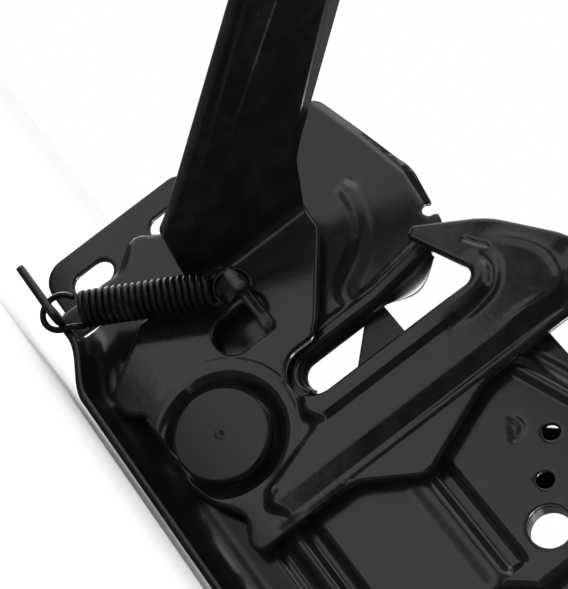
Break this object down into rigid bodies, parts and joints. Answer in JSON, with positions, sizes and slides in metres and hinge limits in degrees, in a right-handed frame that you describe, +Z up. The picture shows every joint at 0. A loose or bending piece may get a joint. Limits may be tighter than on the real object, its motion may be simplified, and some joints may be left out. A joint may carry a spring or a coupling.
{
  "type": "bonnet latch",
  "caption": "Pressed-steel bonnet latch: slotted base plate, sprung safety lever with hook and folded handle in front, claw, pawl and back plate behind.",
  "frame": {"origin": "axis of the latched striker bar, on the plane where the base flanges meet the body panel", "axes": "+X to the right seen from the front, +Y back into the panel, +Z up, the way the striker leaves"},
  "size_m": [0.1596, 0.1015, 0.1198],
  "materials": {
    "base_sheet": "satin black dip coat",
    "lever_sheet": "glossy black dip coat",
    "rivet_steel": "coated turned steel",
    "spring_wire": "oiled spring wire",
    "zinc_steel": "dull plated steel",
    "bush_plastic": "plain"
  },
  "bodies": {
    "base": {"base_plate": "base_sheet", "back_plate": "base_sheet", "lever_rivet": "rivet_steel", "lever_washer": "zinc_steel", "lever_spring": "spring_wire", "claw_rivet": "rivet_steel", "claw_sleeve": "zinc_steel", "claw_washer": "zinc_steel", "claw_spring": "spring_wire", "pawl_sleeve": "zinc_steel", "pawl_washer": "zinc_steel", "pawl_spring": "spring_wire", "post_rivets": "rivet_steel", "post_sleeves": "zinc_steel", "mount_collar": "zinc_steel"},
    "lever": {"safety_lever": "lever_sheet", "lever_bush": "bush_plastic"},
    "claw": {"claw": "zinc_steel"},
    "pawl": {"pawl": "zinc_steel"}
  },
  "joints": [
    {"name": "lever_turn", "type": "hinge", "parent": "base", "child": "lever", "pos_m": [0.00095, 0, -0.0315], "axis": [0, 1, 0], "range_deg": [0, 17], "stiffness_Nm_per_rad": 0.2, "springref_deg": -22.92, "deforming": ["lever_spring"]},
    {"name": "claw_turn", "type": "hinge", "parent": "base", "child": "claw", "pos_m": [0.03095, 0, 0.0015], "axis": [0, 1, 0], "range_deg": [-50, 0], "stiffness_Nm_per_rad": 0.15, "springref_deg": 34.38, "deforming": ["claw_spring"]},
    {"name": "pawl_turn", "type": "hinge", "parent": "base", "child": "pawl", "pos_m": [0.00095, 0, -0.0315], "axis": [0, 1, 0], "range_deg": [0, 14], "stiffness_Nm_per_rad": 0.1, "springref_deg": -28.65, "deforming": ["pawl_spring"]}
  ]
}
